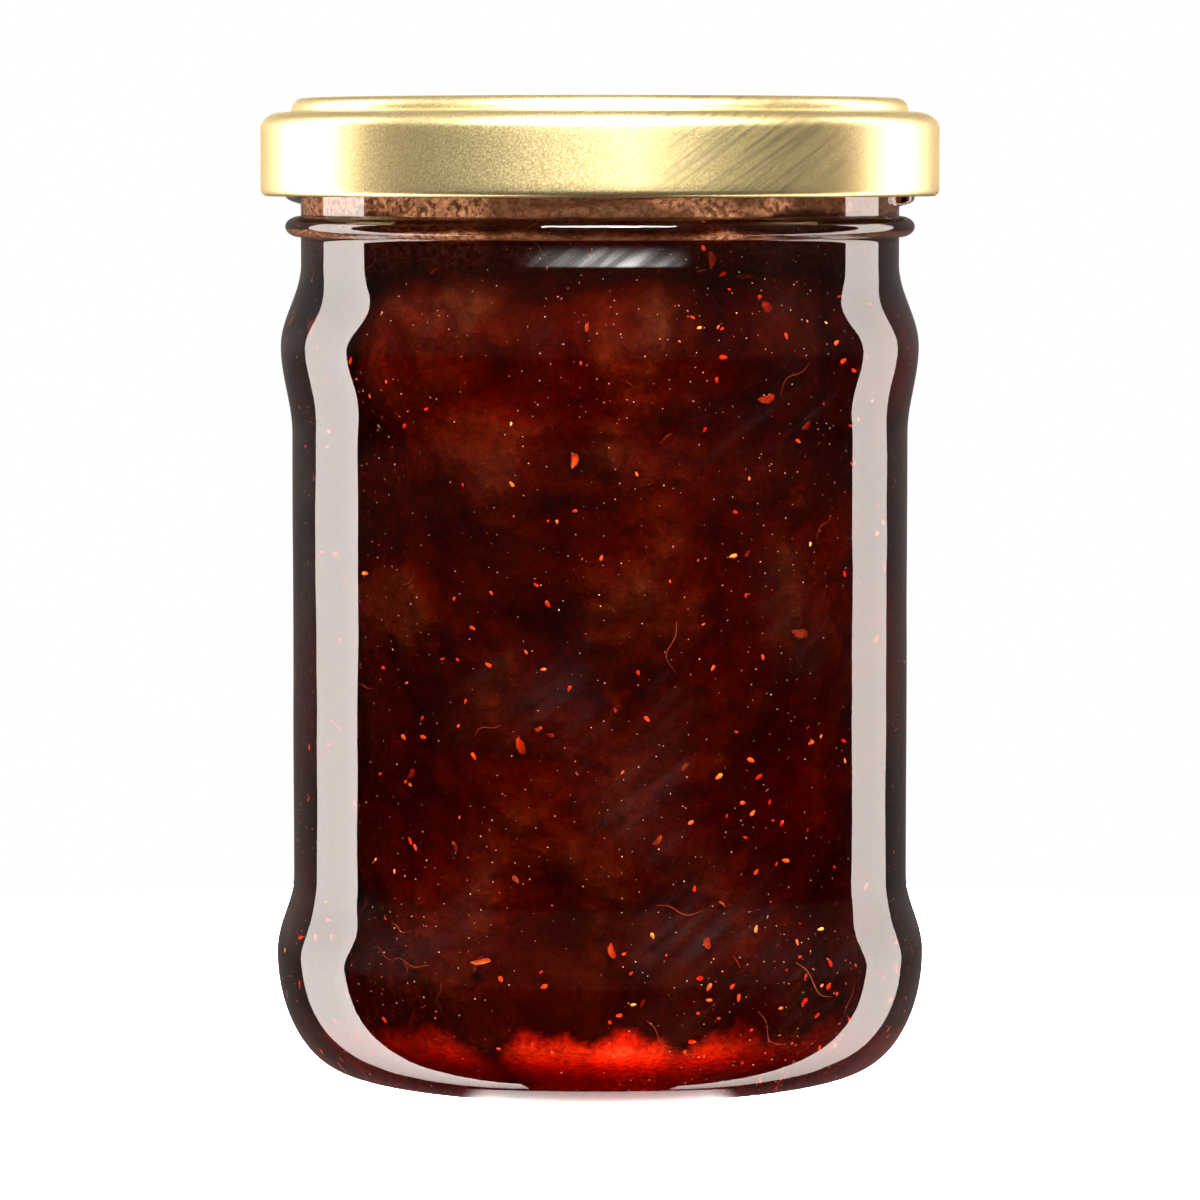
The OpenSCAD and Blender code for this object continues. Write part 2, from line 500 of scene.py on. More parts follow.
def ring_tree() -> bpy.types.NodeTree:
    """Tree that sets copies of its input evenly round the Z axis and makes them one mesh.

    Returns:
        The new tree.
    """
    write, given, result = new_group(
        "Ring of Copies", "GeometryNodeTree",
        {"Shape": ("NodeSocketGeometry", None), "Count": ("NodeSocketInt", 4),
         "First Turn": ("NodeSocketFloat", 0.0), "Material": ("NodeSocketMaterial", None)},
        {"Geometry": "NodeSocketGeometry"})
    points = write.add("GeometryNodePoints", {"Count": given.outputs["Count"]})
    index = write.add("GeometryNodeInputIndex").outputs[0]
    step = write.math("DIVIDE", math.tau, given.outputs["Count"])
    angle = write.plus(write.times(index, step), given.outputs["First Turn"])
    upright = write.add("ShaderNodeCombineXYZ", {"Z": angle})
    turn = write.add("FunctionNodeEulerToRotation", {0: upright.outputs[0]})
    copies = write.add("GeometryNodeInstanceOnPoints",
                       {"Points": points.outputs[0], "Instance": given.outputs["Shape"],
                        "Rotation": turn.outputs[0]})
    plain = write.add("GeometryNodeRealizeInstances", {"Geometry": copies.outputs[0]})
    dressed = write.add("GeometryNodeSetMaterial",
                        {"Geometry": plain.outputs[0], "Material": given.outputs["Material"]})
    write.feed(result.inputs["Geometry"], dressed.outputs[0])
    return write.tree


@dataclass
class TreeShelf:
    """The Geometry Nodes trees, each built once."""

    revolve: bpy.types.NodeTree = field(default_factory=revolve_tree)
    scatter: bpy.types.NodeTree = field(default_factory=scatter_tree)
    ring: bpy.types.NodeTree = field(default_factory=ring_tree)

    def turned(self, name: str, line: Points, segments: int,
               material: bpy.types.Material) -> bpy.types.Object:
        """Turns a section line round the axis.

        Args:
            name: The piece's name.
            line: Radius and height of each point, in drawn millimetres.
            segments: Faces round the axis.
            material: The piece's finish.

        Returns:
            The new object.
        """
        places = [(SCALE.metres(r), 0.0, SCALE.metres(z)) for r, z in line]
        made = mesh_object(name, places, edges=[(i, i + 1) for i in range(len(places) - 1)])
        run_geometry_nodes(made, self.revolve, {"Segments": segments, "Material": material})
        return made


# ------------------------------------------------------------ shader groups


def streak_group() -> bpy.types.NodeTree:
    """Fine parallel streaks that cross the front and the back at a slant.

    Returns:
        The new group.
    """
    write, given, result = new_group(
        "Streaks", "ShaderNodeTree",
        {"Vector": ("NodeSocketVector", None), "Slant": ("NodeSocketFloat", 0.8),
         "Fineness": ("NodeSocketFloat", 900.0), "Length": ("NodeSocketFloat", 14.0)},
        {"Mask": "NodeSocketFloat"})
    turn = write.add("ShaderNodeCombineXYZ", {"Y": given.outputs["Slant"]})
    turned = write.add("ShaderNodeVectorRotate",
                       {"Vector": given.outputs["Vector"], "Rotation": turn.outputs[0]},
                       rotation_type="EULER_XYZ")
    stretch = write.add("ShaderNodeCombineXYZ",
                        {"X": 1.0, "Y": 0.06, "Z": write.math("DIVIDE", 1.0, given.outputs["Length"])})
    drawn = write.vector("MULTIPLY", turned.outputs[0], stretch.outputs[0])
    lines = noise_at(write, drawn, given.outputs["Fineness"], 2.0)
    write.feed(result.inputs["Mask"], write.ramp(lines, 0.45, 0.68))
    return write.tree


@dataclass
class ShaderShelf:
    """The shader groups that several finishes share, each built once."""

    streaks: bpy.types.NodeTree = field(default_factory=streak_group)

    @staticmethod
    def place(write: TreeWriter, group: bpy.types.NodeTree, values: Mapping[str, object]) -> Socket:
        """Puts a group into a material with its own values.

        Args:
            write: The material's writer.
            group: The group.
            values: Its named inputs.

        Returns:
            Its first output.
        """
        node = write.add("ShaderNodeGroup", node_tree=group)
        write.dress(node, values)
        return node.outputs[0]


def start_material(name: str) -> tuple[bpy.types.Material, TreeWriter, bpy.types.Node, bpy.types.Node]:
    """Starts a node material.

    Args:
        name: The material's name.

    Returns:
        The material, a writer for it, its Principled node and its output node.
    """
    material = bpy.data.materials.new(name)
    material.use_nodes = True
    material.node_tree.nodes.clear()
    write = TreeWriter(material.node_tree)
    shader = write.add("ShaderNodeBsdfPrincipled")
    output = write.add("ShaderNodeOutputMaterial", {"Surface": shader.outputs[0]})
    return material, write, shader, output


def object_place(write: TreeWriter) -> Socket:
    """The surface's own place on its object."""
    return write.add("ShaderNodeTexCoord").outputs["Object"]


def noise_at(write: TreeWriter, place: Socket, scale: object, detail: float = 3.0,
             rough: float = 0.5) -> Socket:
    """A noise pattern's grey value.

    Args:
        write: The tree's writer.
        place: Where the pattern is read.
        scale: How fine it is.
        detail: How many finer layers it has.
        rough: How strong they are.

    Returns:
        The value's socket.
    """
    return write.add("ShaderNodeTexNoise",
                     {"Vector": place, "Scale": scale, "Detail": detail, "Roughness": rough}).outputs[0]


def clear_to_shadows(write: TreeWriter, shader: bpy.types.Node, output: bpy.types.Node) -> None:
    """Lets shadow rays through a clear piece, so that lamps light what is inside it.

    Args:
        write: The material's writer.
        shader: Its Principled node.
        output: Its output node.
    """
    shadow = write.add("ShaderNodeLightPath").outputs["Is Shadow Ray"]
    clear = write.add("ShaderNodeBsdfTransparent")
    write.feed(output.inputs["Surface"], write.mix(shadow, shader.outputs[0], clear.outputs[0]))


# ----------------------------------------------------------------- finishes


@dataclass(frozen=True)
class FlintGlass:
    """Clear flint glass with fine ripples, a wiped haze and a smear under the bead.

    The smear's edges are in drawn millimetres.
    """

    tint: Colour = (0.985, 0.995, 0.99)
    index: float = 1.52
    haze: float = 0.06
    haze_rough: float = 0.62
    streak_slant: float = -0.9
    smear: float = 3.6
    smear_left: Point = (-9.0, 0.0)
    smear_right: Point = (2.0, 10.0)
    smear_foot: Point = (88.0, 88.3)
    smear_top: Point = (88.3, 90.4)

    def wetted(self) -> bpy.types.Material:
        """Makes the finish of the glass where jam lies against it, which neither bends nor mirrors light.

        Returns:
            The new material.
        """
        material, write, shader, output = start_material("wetted_glass")
        cloud = noise_at(write, object_place(write), 60.0)
        colour = write.blend(cloud, (1.0, 1.0, 1.0), (0.99, 0.985, 0.98))
        write.dress(shader, {"Base Color": colour, "Roughness": 0.0, "IOR": 1.0, "Transmission Weight": 1.0})
        clear_to_shadows(write, shader, output)
        return material

    def smeared(self, write: TreeWriter, place: Socket) -> Socket:
        """Where the smear lies, fading to both sides and upwards.

        Args:
            write: The material's writer.
            place: The surface's own place.

        Returns:
            A mask's socket.
        """
        along = write.axes(place)
        sides = write.times(write.ramp(along["X"], *SCALE.span(self.smear_left)),
                            write.ramp(along["X"], *SCALE.span(self.smear_right), 1.0, 0.0))
        ends = write.times(write.ramp(along["Z"], *SCALE.span(self.smear_foot)),
                           write.ramp(along["Z"], *SCALE.span(self.smear_top), 1.0, 0.0))
        return write.times(sides, ends)

    def build(self, shelf: ShaderShelf) -> bpy.types.Material:
        """Makes the material.

        Args:
            shelf: The shared shader groups.

        Returns:
            The new material.
        """
        material, write, shader, output = start_material("flint_glass")
        place = object_place(write)
        streaks = shelf.place(write, shelf.streaks, {"Vector": place, "Slant": self.streak_slant})
        cloud = write.ramp(noise_at(write, place, 45.0, 2.0), 0.5, 0.68)
        wiped = write.times(write.times(cloud, write.plus(streaks, 0.35)), self.haze)
        smeared = write.times(write.times(self.smeared(write, place), write.plus(streaks, 0.4)), self.smear)
        ripple = noise_at(write, place, 160.0, 2.0)
        write.dress(shader, {
            "Base Color": (*self.tint, 1.0), "Roughness": 0.0, "IOR": self.index, "Transmission Weight": 1.0,
            "Coat Weight": write.plus(wiped, smeared), "Coat Roughness": self.haze_rough,
            "Normal": write.bump(ripple, 0.06, 0.05)})
        clear_to_shadows(write, shader, output)
        return material


@dataclass(frozen=True)
class GoldLacquer:
    """Satin pale-gold lacquer on tinplate: fine grain, and slanting scratches where it is rubbed."""

    gold: Colour = (0.74, 0.575, 0.255)
    deep: Colour = (0.7, 0.535, 0.235)
    fleck: Colour = (0.96, 0.79, 0.41)
    roughness: float = 0.37
    uneven: float = 0.03
    grain_scale: float = 5200.0
    scratch_slant: float = -0.95
    scratch_fineness: float = 2000.0
    scratch_length: float = 30.0
    rubbed_side: Point = (2.0, 9.0)

    def build(self, shelf: ShaderShelf) -> bpy.types.Material:
        """Makes the material.

        Args:
            shelf: The shared shader groups.

        Returns:
            The new material.
        """
        material, write, shader, _ = start_material("gold_lacquer")
        place = object_place(write)
        grain = noise_at(write, place, self.grain_scale, 3.0, 0.8)
        tone = write.ramp(noise_at(write, place, 60.0), 0.3, 0.7)
        side = write.ramp(write.axes(place)["X"], *SCALE.span(self.rubbed_side))
        rubbed = write.times(side, write.ramp(noise_at(write, place, 45.0, 1.0), 0.35, 0.6))
        scratches = write.times(rubbed, shelf.place(write, shelf.streaks, {
            "Vector": place, "Slant": self.scratch_slant, "Fineness": self.scratch_fineness,
            "Length": self.scratch_length}))
        calm = write.math("SUBTRACT", 1.0, write.times(rubbed, 0.8))
        fleck = write.math("MAXIMUM", write.times(calm, write.ramp(grain, 0.4, 0.62)), scratches)
        rough = write.ramp(grain, 0.3, 0.7, self.roughness - self.uneven, self.roughness + self.uneven)
        height = write.plus(write.times(calm, grain), write.times(scratches, 0.8))
        write.dress(shader, {
            "Base Color": write.blend(fleck, write.blend(tone, self.gold, self.deep), self.fleck),
            "Metallic": 1.0, "Roughness": write.plus(rough, write.times(scratches, -0.07)),
            "Coat Weight": 0.15, "Coat Roughness": 0.18, "Normal": write.bump(height, 0.18, 0.01)})
        return material


@dataclass(frozen=True)
class SetGel:
    """The clear red gel, which darkens with depth. The glass bends the light, so its own index is 1."""

    index: float = 1.0
    tint: Colour = (1.0, 0.97, 0.95)
    passes: Colour = (0.85, 0.48, 0.15)
    density: float = 1000.0

    def build(self) -> bpy.types.Material:
        """Makes the material.

        Returns:
            The new material.
        """
        material, write, shader, output = start_material("jam_gel")
        swirl = noise_at(write, object_place(write), 90.0, 2.0)
        write.dress(shader, {"Base Color": (*self.tint, 1.0), "Roughness": 0.0, "IOR": self.index,
                             "Transmission Weight": 1.0, "Normal": write.bump(swirl, 0.1, 0.1)})
        clear_to_shadows(write, shader, output)
        inside = write.add("ShaderNodeVolumeAbsorption",
                           {"Color": (*self.passes, 1.0), "Density": self.density})
        write.feed(output.inputs["Volume"], inside.outputs[0])
        return material


@dataclass(frozen=True)
class FruitFlesh:
    """Cooked fruit in the middle of the jam: dark red flesh, brown patches, fine grain, froth on its top.

    Where the mesh's attribute says that the jam is thin, the flesh takes a bright red colour and a red glow,
    both painted light that stands for light coming through the thin jam. Sizes are in drawn millimetres.
    """

    ripe: Colour = (0.031, 0.0034, 0.0016)
    brown: Colour = (0.0145, 0.0055, 0.0035)
    dark: Colour = (0.0115, 0.0048, 0.0033)
    pits: Colour = (0.4, 0.35, 0.35)
    # Painted light: thin is the bright red of light coming through the thin jam, and lit is the colour of its
    # painted glow.
    thin: Colour = (1.0, 0.17, 0.1)
    lit: Colour = (1.0, 0.06, 0.03)
    foam: Colour = (0.27, 0.2, 0.155)
    lace: Colour = (1.0, 0.88, 0.74)
    glow: float = 0.62
    browner_up: Point = (15.0, 55.0)
    lace_side: Point = (-13.0, -10.0)

    def froth(self, write: TreeWriter, place: Socket) -> Socket:
        """Colour of the froth, with pale lace on one side and in a few patches.

        Args:
            write: The material's writer.
            place: The surface's own place.

        Returns:
            The colour's socket.
        """
        side = write.ramp(write.axes(place)["X"], *SCALE.span(self.lace_side), 1.0, 0.0)
        patch = write.math("MAXIMUM", side, write.ramp(noise_at(write, place, 70.0, 1.0), 0.64, 0.7))
        threads = write.ramp(noise_at(write, place, 1500.0, 3.0, 0.6), 0.4, 0.55)
        return write.blend(write.times(threads, patch), self.foam, self.lace)

    def build(self) -> bpy.types.Material:
        """Makes the material.

        Returns:
            The new material.
        """
        material, write, shader, _ = start_material("fruit_flesh")
        place = object_place(write)
        ripeness, foam, thinness = (write.attribute(name) for name in ("ripe", "foam", "thin"))
        cloud = noise_at(write, place, 130.0, 5.0, 0.65)
        fine = noise_at(write, place, 1400.0, 5.0, 0.7)
        high_up = write.ramp(write.axes(place)["Z"], *SCALE.span(self.browner_up), -0.1, 0.05)
        browning = write.ramp(write.plus(cloud, high_up), 0.48, 0.6, 0.0, 0.5)
        fruit = write.blend(ripeness, self.dark, write.blend(browning, self.ripe, self.brown))
        # Where thinness is high, the flesh takes the painted red of light coming through the thin jam.
        flesh = write.blend(foam, write.blend(thinness, fruit, self.thin), self.froth(write, place))
        lit_through = write.times(thinness, write.ramp(fine, 0.35, 0.65, self.glow, self.glow * 0.3))
        write.dress(shader, {
            "Base Color": write.blend(write.ramp(fine, 0.35, 0.65), flesh, self.pits, "MULTIPLY"),
            "Roughness": 0.5, "Specular IOR Level": 0.1, "Emission Color": (*self.lit, 1.0),
            "Emission Strength": lit_through, "Normal": write.bump(fine, 0.7, 0.3)})
        return material


@dataclass(frozen=True)
class SmallBits:
    """Finish of what is strewn through the gel, between two tones, with an even glow that is painted light.
    """

    name: str
    pale: Colour
    deep: Colour
    roughness: float = 0.45
    glow: float = 0.0
    mottle: Colour = (0.75, 0.65, 0.6)

    def build(self) -> bpy.types.Material:
        """Makes the material.

        Returns:
            The new material.
        """
        material, write, shader, _ = start_material(self.name)
        fine = noise_at(write, object_place(write), 2500.0, 2.0)
        colour = write.blend(write.attribute("tone"), self.pale, self.deep)
        mottled = write.blend(write.ramp(fine, 0.4, 0.65), colour, self.mottle, "MULTIPLY")
        # The glow is painted light: it lifts the bits as if lit through the gel.
        write.dress(shader, {"Base Color": mottled, "Roughness": self.roughness, "Emission Color": mottled,
                             "Emission Strength": self.glow})
        return material


# -------------------------------------------------------------- the glass


@dataclass
class GlassJar:
    """The glass jar, with its bead, thread runs and bearing ring. Sizes in drawn millimetres."""

    height: float = 104.6
    panel_r: float = 33.55
    upper_r: float = 34.75
    lower_r: float = 35.4
    neck_r: float = 32.55
    wall: float = 2.3
    neck_wall: float = 2.4
    base: float = 3.2
    heel_h: float = 12.8
    heel_in: float = 8.0
    lower_flare: float = 8.5
    upper_flare: float = 9.5
    shoulder: float = 8.9
    neck_h: float = 16.7
    ring_w: float = 1.4
    punt: float = 2.2
    floor_rise: float = 1.2
    floor_corner: float = 9.0
    rim_r: float = 0.7
    bead_out: float = 1.7
    bead_h: float = 2.3
    bead_drop: float = 12.6
    threads: int = 4
    thread_out: float = 1.65
    thread_h: float = 1.9
    thread_span: float = 62.0
    thread_slope: float = 4.8
    thread_turn: float = 16.0
    thread_drop: float = 8.28
    knurls: int = 96
    jam_top: float = 99.4
    segments: int = 288

    @property
    def bore(self) -> float:
        """Radius of the inside of the neck."""
        return self.neck_r - self.neck_wall

    @property
    def corner_r(self) -> float:
        """Radius at which the flat of the inside floor turns up into its corner."""
        return self.lower_r - self.wall - self.floor_corner

    @property
    def neck_z(self) -> float:
        """Height of the foot of the neck."""
        return self.height - self.neck_h

    @property
    def upper_z(self) -> float:
        """Height of the upper bulge's widest line."""
        return self.neck_z - self.shoulder

    def side(self, inset: float, neck_inset: float, steps: int) -> Points:
        """The side from the lower bulge to the foot of the neck.

        Args:
            inset: How far it is moved in below the neck, in drawn millimetres.
            neck_inset: The same at the neck.
            steps: Number of steps along each stretch.

        Returns:
            Points as (radius, height), upwards.
        """
        panel, upper, lower = (r - inset for r in (self.panel_r, self.upper_r, self.lower_r))
        low, high = self.heel_h + self.lower_flare, self.upper_z - self.upper_flare
        return joined(
            s_curve((lower, self.heel_h), (panel, low), steps),
            straight((panel, low), (panel, high), steps * 2),
            s_curve((panel, high), (upper, self.upper_z), steps),
            s_curve((upper, self.upper_z), (self.neck_r - neck_inset, self.neck_z), steps))

    def inner_line(self, grow: float, steps: int) -> Points:
        """The inside from the middle of the floor to the foot of the neck.

        Args:
            grow: How far it is moved into the glass, in drawn millimetres.
            steps: Number of steps along each stretch.

        Returns:
            Points as (radius, height), upwards.
        """
        inset, floor = self.wall - grow, self.base - grow
        corner = self.lower_r - inset - self.floor_corner
        return joined(
            mound(corner, floor, self.floor_rise, steps),
            arc((corner, self.heel_h), (self.floor_corner, self.heel_h - floor), -90, 0, steps),
            self.side(inset, self.neck_wall - grow, steps))

    def outer_line(self) -> Points:
        """The outside from the middle of the push-up to the rim.

        Returns:
            Points as (radius, height).
        """
        ring = self.lower_r - self.heel_in
        bead_z = self.height - self.bead_drop
        finish = self.height - self.rim_r
        return joined(
            mound(ring - self.ring_w, 0.0, self.punt, 14),
            arc((ring - self.ring_w / 2, 0.16), (self.ring_w / 2, 0.16), -170, -90, 4),
            arc((ring, self.heel_h), (self.heel_in, self.heel_h), -90, 0, 34),
            self.side(0.0, 0.0, 22),
            straight((self.neck_r, self.neck_z), (self.neck_r, bead_z - self.bead_h / 2), 6),
            arc((self.neck_r, bead_z), (self.bead_out, self.bead_h / 2), -90, 90, 20),
            straight((self.neck_r, bead_z + self.bead_h / 2), (self.neck_r, finish - 3.5), 42),
            straight((self.neck_r, finish - 3.5), (self.neck_r, finish), 4),
            arc((self.neck_r - self.rim_r, finish), (self.rim_r, self.rim_r), 0, 90, 5))

    def section(self) -> Points:
        """The closed half-section of the glass.

        Returns:
            Points as (radius, height).
        """
        rim = arc((self.bore + self.rim_r, self.height - self.rim_r), (self.rim_r, self.rim_r), 90, 180, 5)
        neck = straight((self.bore, self.neck_z), (self.bore, self.height - 1.5), 5)
        inside = joined(self.inner_line(0.0, 12), neck)
        return joined(self.outer_line(), rim, inside[::-1])

    def thread_height(self, turn: np.ndarray, level: np.ndarray) -> np.ndarray:
        """How far the thread runs stand out at each place.

        Args:
            turn: Angle round the axis, in radians.
            level: Height in drawn millimetres.

        Returns:
            Height of the thread over the neck, in drawn millimetres.
        """
        out = np.zeros_like(level)
        slope = math.sin(math.radians(self.thread_slope))
        half = math.radians(self.thread_span) / 2
        for i in range(self.threads):
            middle = math.tau * i / self.threads + math.radians(self.thread_turn - 90)
            off = (turn - middle + math.pi) % math.tau - math.pi
            crest = self.height - self.thread_drop + self.neck_r * np.sin(off) * slope
            end = np.clip((half - np.abs(off)) / math.radians(5), 0, 1)
            ends = end * end * (3 - 2 * end)
            across = np.clip((self.thread_h / 2 + 0.1 - np.abs(level - crest)) / 0.62, 0, 1)
            flank = across * across * (3 - 2 * across)
            out = np.maximum(out, self.thread_out * flank * ends * (np.abs(off) < half))
        return out

    def wet(self, jar: bpy.types.Object, finish: bpy.types.Material) -> None:
        """Gives the inside of the glass, up to the jam's surface, the wetted finish.

        Args:
            jar: The glass.
            finish: The wetted finish.
        """
        inside = np.array(joined(self.inner_line(0.0, 12), [(self.bore, self.height)]))
        wall = inside[inside[:, 0] > self.corner_r + 0.5]
        jar.data.materials.append(finish)
        for face in jar.data.polygons:
            middle = face.center / SCALE.unit
            radius = math.hypot(middle.x, middle.y)
            off_wall = abs(radius - np.interp(middle.z, wall[:, 1], wall[:, 0]))
            on_floor = self.base - 0.1 < middle.z < self.heel_h and face.normal.z > 0.3
            on_wall = off_wall < 0.25 and middle.z > self.base + 0.3
            if middle.z < self.jam_top and (on_floor or on_wall):
                face.material_index = 1

    @staticmethod
    def ripples(turn: np.ndarray, level: np.ndarray, body: np.ndarray) -> np.ndarray:
        """Slow ripples of the walls.

        Args:
            turn: Angle of each vertex round the axis, in radians.
            level: Its height in drawn millimetres.
            body: Whether it belongs to the rippled walls.

        Returns:
            How far each vertex moves outwards, in drawn millimetres.
        """
        waves = np.zeros(len(turn))
        for i in np.flatnonzero(body):
            seat = Vector((math.cos(turn[i]) * 2.6, math.sin(turn[i]) * 2.6, level[i] / 15))
            waves[i] = 0.045 * noise.noise(seat) + 0.012 * noise.noise(seat * 3.1)
        return waves

    def knurl(self, turn: np.ndarray, level: np.ndarray, out_r: np.ndarray) -> np.ndarray:
        """Height of the knurling on the bearing ring.

        Args:
            turn: Angle of each vertex round the axis, in radians.
            level: Its height in drawn millimetres.
            out_r: Its distance from the axis in drawn millimetres.

        Returns:
            How far each vertex moves up, in drawn millimetres.
        """
        bearing = self.lower_r - self.heel_in
        ring = (level < 0.4) & (out_r > bearing - self.ring_w)
        ridges = 0.06 * (1 + np.sin(turn * self.knurls)) * np.exp(-((out_r - bearing) / 0.8) ** 2)
        return np.where(ring, ridges, 0.0)

    def build(self, trees: TreeShelf, glass: bpy.types.Material,
              wetted: bpy.types.Material) -> bpy.types.Object:
        """Turns the section, raises the threads and the knurled ring, and ripples the walls.

        Args:
            trees: The Geometry Nodes trees.
            glass: The glass's finish.
            wetted: The finish of the glass where jam lies against it.

        Returns:
            The new object.
        """
        jar = trees.turned("glass_jar", self.section(), self.segments, glass)
        places = coordinates(jar)
        unit = SCALE.metres(1.0)
        radius = np.hypot(places[:, 0], places[:, 1])
        turn = np.arctan2(places[:, 1], places[:, 0])
        level = places[:, 2] / unit
        out_r = radius / unit
        neck = (level > self.height - self.bead_drop + self.bead_h / 2) & (out_r > self.neck_r - 0.05)
        push = np.where(neck, self.thread_height(turn, level), 0.0)
        outside = (level > 1.5) & (level < self.neck_z - 1) & (out_r > self.neck_r - 0.6)
        push += self.ripples(turn, level, outside)
        places[:, 2] += self.knurl(turn, level, out_r) * unit
        grown = (radius + push * unit) / np.maximum(radius, 1e-9)
        places[:, :2] *= grown[:, None]
        set_coordinates(jar, places)
        self.wet(jar, wetted)
        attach(jar, BODY)
        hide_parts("jar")
        return jar


# ---------------------------------------------------------------- the lid


@dataclass
class TwistLid:
    """The twist-off lid, with its raised panel, rolled edge and lugs. Sizes in drawn millimetres."""

    rim_z: float = 104.6
    radius: float = 36.9
    panel_r: float = 33.5
    seal: float = 1.3
    panel_rise: float = 1.5
    edge_r: float = 1.3
    corner_w: float = 2.6
    corner_h: float = 1.8
    dish_depth: float = 0.85
    dish_ring: float = 5.0
    dish_slope: float = 2.2
    sheet: float = 0.35
    skirt_drop: float = 9.3
    curl_r: float = 0.75
    lug_in: float = 33.3
    lug_t: float = 0.5
    lug_lift: float = 0.1
    lug_span: float = 15.0
    lug_turn: float = 39.0
    lugs: int = 4
    segments: int = 256

    def section(self) -> Points:
        """The closed half-section of the lid, from the middle of the top to the middle of the underside.

        Returns:
            Points as (radius, height).
        """
        top = self.rim_z + self.seal
        shoulder = top - self.panel_rise
        low = self.rim_z - self.skirt_drop
        dish = self.panel_r - self.dish_ring
        corner = (self.radius - self.corner_w, shoulder - self.corner_h)
        slope = [(r, z) for z, r in s_curve((top - self.dish_depth, dish - self.dish_slope), (top, dish), 8)]
        return joined(
            straight((0.0, top - self.dish_depth), (dish - self.dish_slope, top - self.dish_depth), 6),
            slope,
            straight((dish, top), (self.panel_r - self.edge_r, top), 3),
            arc((self.panel_r - self.edge_r, top - self.edge_r), (self.edge_r, self.edge_r), 90, 0, 8),
            arc((self.panel_r + 0.25, shoulder + 0.2), (0.25, 0.2), 180, 270, 4),
            arc(corner, (self.corner_w, self.corner_h), 90, 0, 12),
            straight((self.radius, corner[1]), (self.radius, low + self.curl_r), 8),
            arc((self.radius - self.curl_r, low + self.curl_r), (self.curl_r, self.curl_r), 0, -255, 16),
            [(self.radius - self.sheet, low + 2 * self.curl_r + self.sheet)],
            arc(corner, (self.corner_w - self.sheet, self.corner_h - self.sheet), 0, 90, 8),
            [(self.panel_r - self.sheet, shoulder - self.sheet), (self.panel_r - self.sheet, self.rim_z),
             (0.0, self.rim_z)])

    def lug(self, material: bpy.types.Material) -> bpy.types.Object:
        """One inward fold of the rolled edge, its middle over +X.

        Args:
            material: The lug's finish.

        Returns:
            The new object.
        """
        low = self.rim_z - self.skirt_drop + self.lug_lift
        outer = self.radius - self.curl_r - 0.3
        high = low + self.lug_t
        ring = [(outer, low), (self.lug_in + 0.15, low), (self.lug_in, low + 0.15),
                (self.lug_in, high - 0.1), (self.lug_in + 0.1, high), (outer, high)]
        turns = np.radians(np.linspace(-self.lug_span / 2, self.lug_span / 2, 9))
        places = [(SCALE.metres(r) * math.cos(a), SCALE.metres(r) * math.sin(a), SCALE.metres(z))
                  for a in turns for r, z in ring]
        size = len(ring)
        sides = [(j, (j + 1) % size, size + (j + 1) % size, size + j) for j in range(size)]
        faces = [tuple(k * size + corner for corner in side) for k in range(len(turns) - 1) for side in sides]
        faces += [tuple(range(size))[::-1], tuple(range((len(turns) - 1) * size, len(turns) * size))]
        made = mesh_object("lid_lugs", places, faces)
        made.data.materials.append(material)
        return made

    def build(self, trees: TreeShelf, gold: bpy.types.Material) -> list[bpy.types.Object]:
        """Makes the lid's shell and its lugs.

        Args:
            trees: The Geometry Nodes trees.
            gold: The lid's finish.

        Returns:
            The shell and the lugs.
        """
        shell = trees.turned("lid_shell", self.section()[::-1], self.segments, gold)
        lugs = self.lug(gold)
        run_geometry_nodes(lugs, trees.ring, {"Count": self.lugs, "Material": gold,
                                              "First Turn": math.radians(self.lug_turn - 90)})
        for piece in (shell, lugs):
            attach(piece, BODY)
        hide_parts("lid")
        LOG.info("lid: shell %d faces, lugs %d faces", len(shell.data.polygons), len(lugs.data.polygons))
        return [shell, lugs]


# ---------------------------------------------------------------- the jam


@dataclass(frozen=True)
class FruitPiece:
    """One piece of cooked fruit that presses towards the glass.

    Attributes:
        turn: Its angle from the front, in degrees, positive to the right.
        level: Height of its middle, in drawn millimetres, as the next three are.
        wide: Half its width.
        tall: Half its height.
        cover: Gel between it and the glass.
        ripe: How red it is, from 0 to 1.
    """

    turn: float
    level: float
    wide: float
    tall: float
    cover: float
    ripe: float


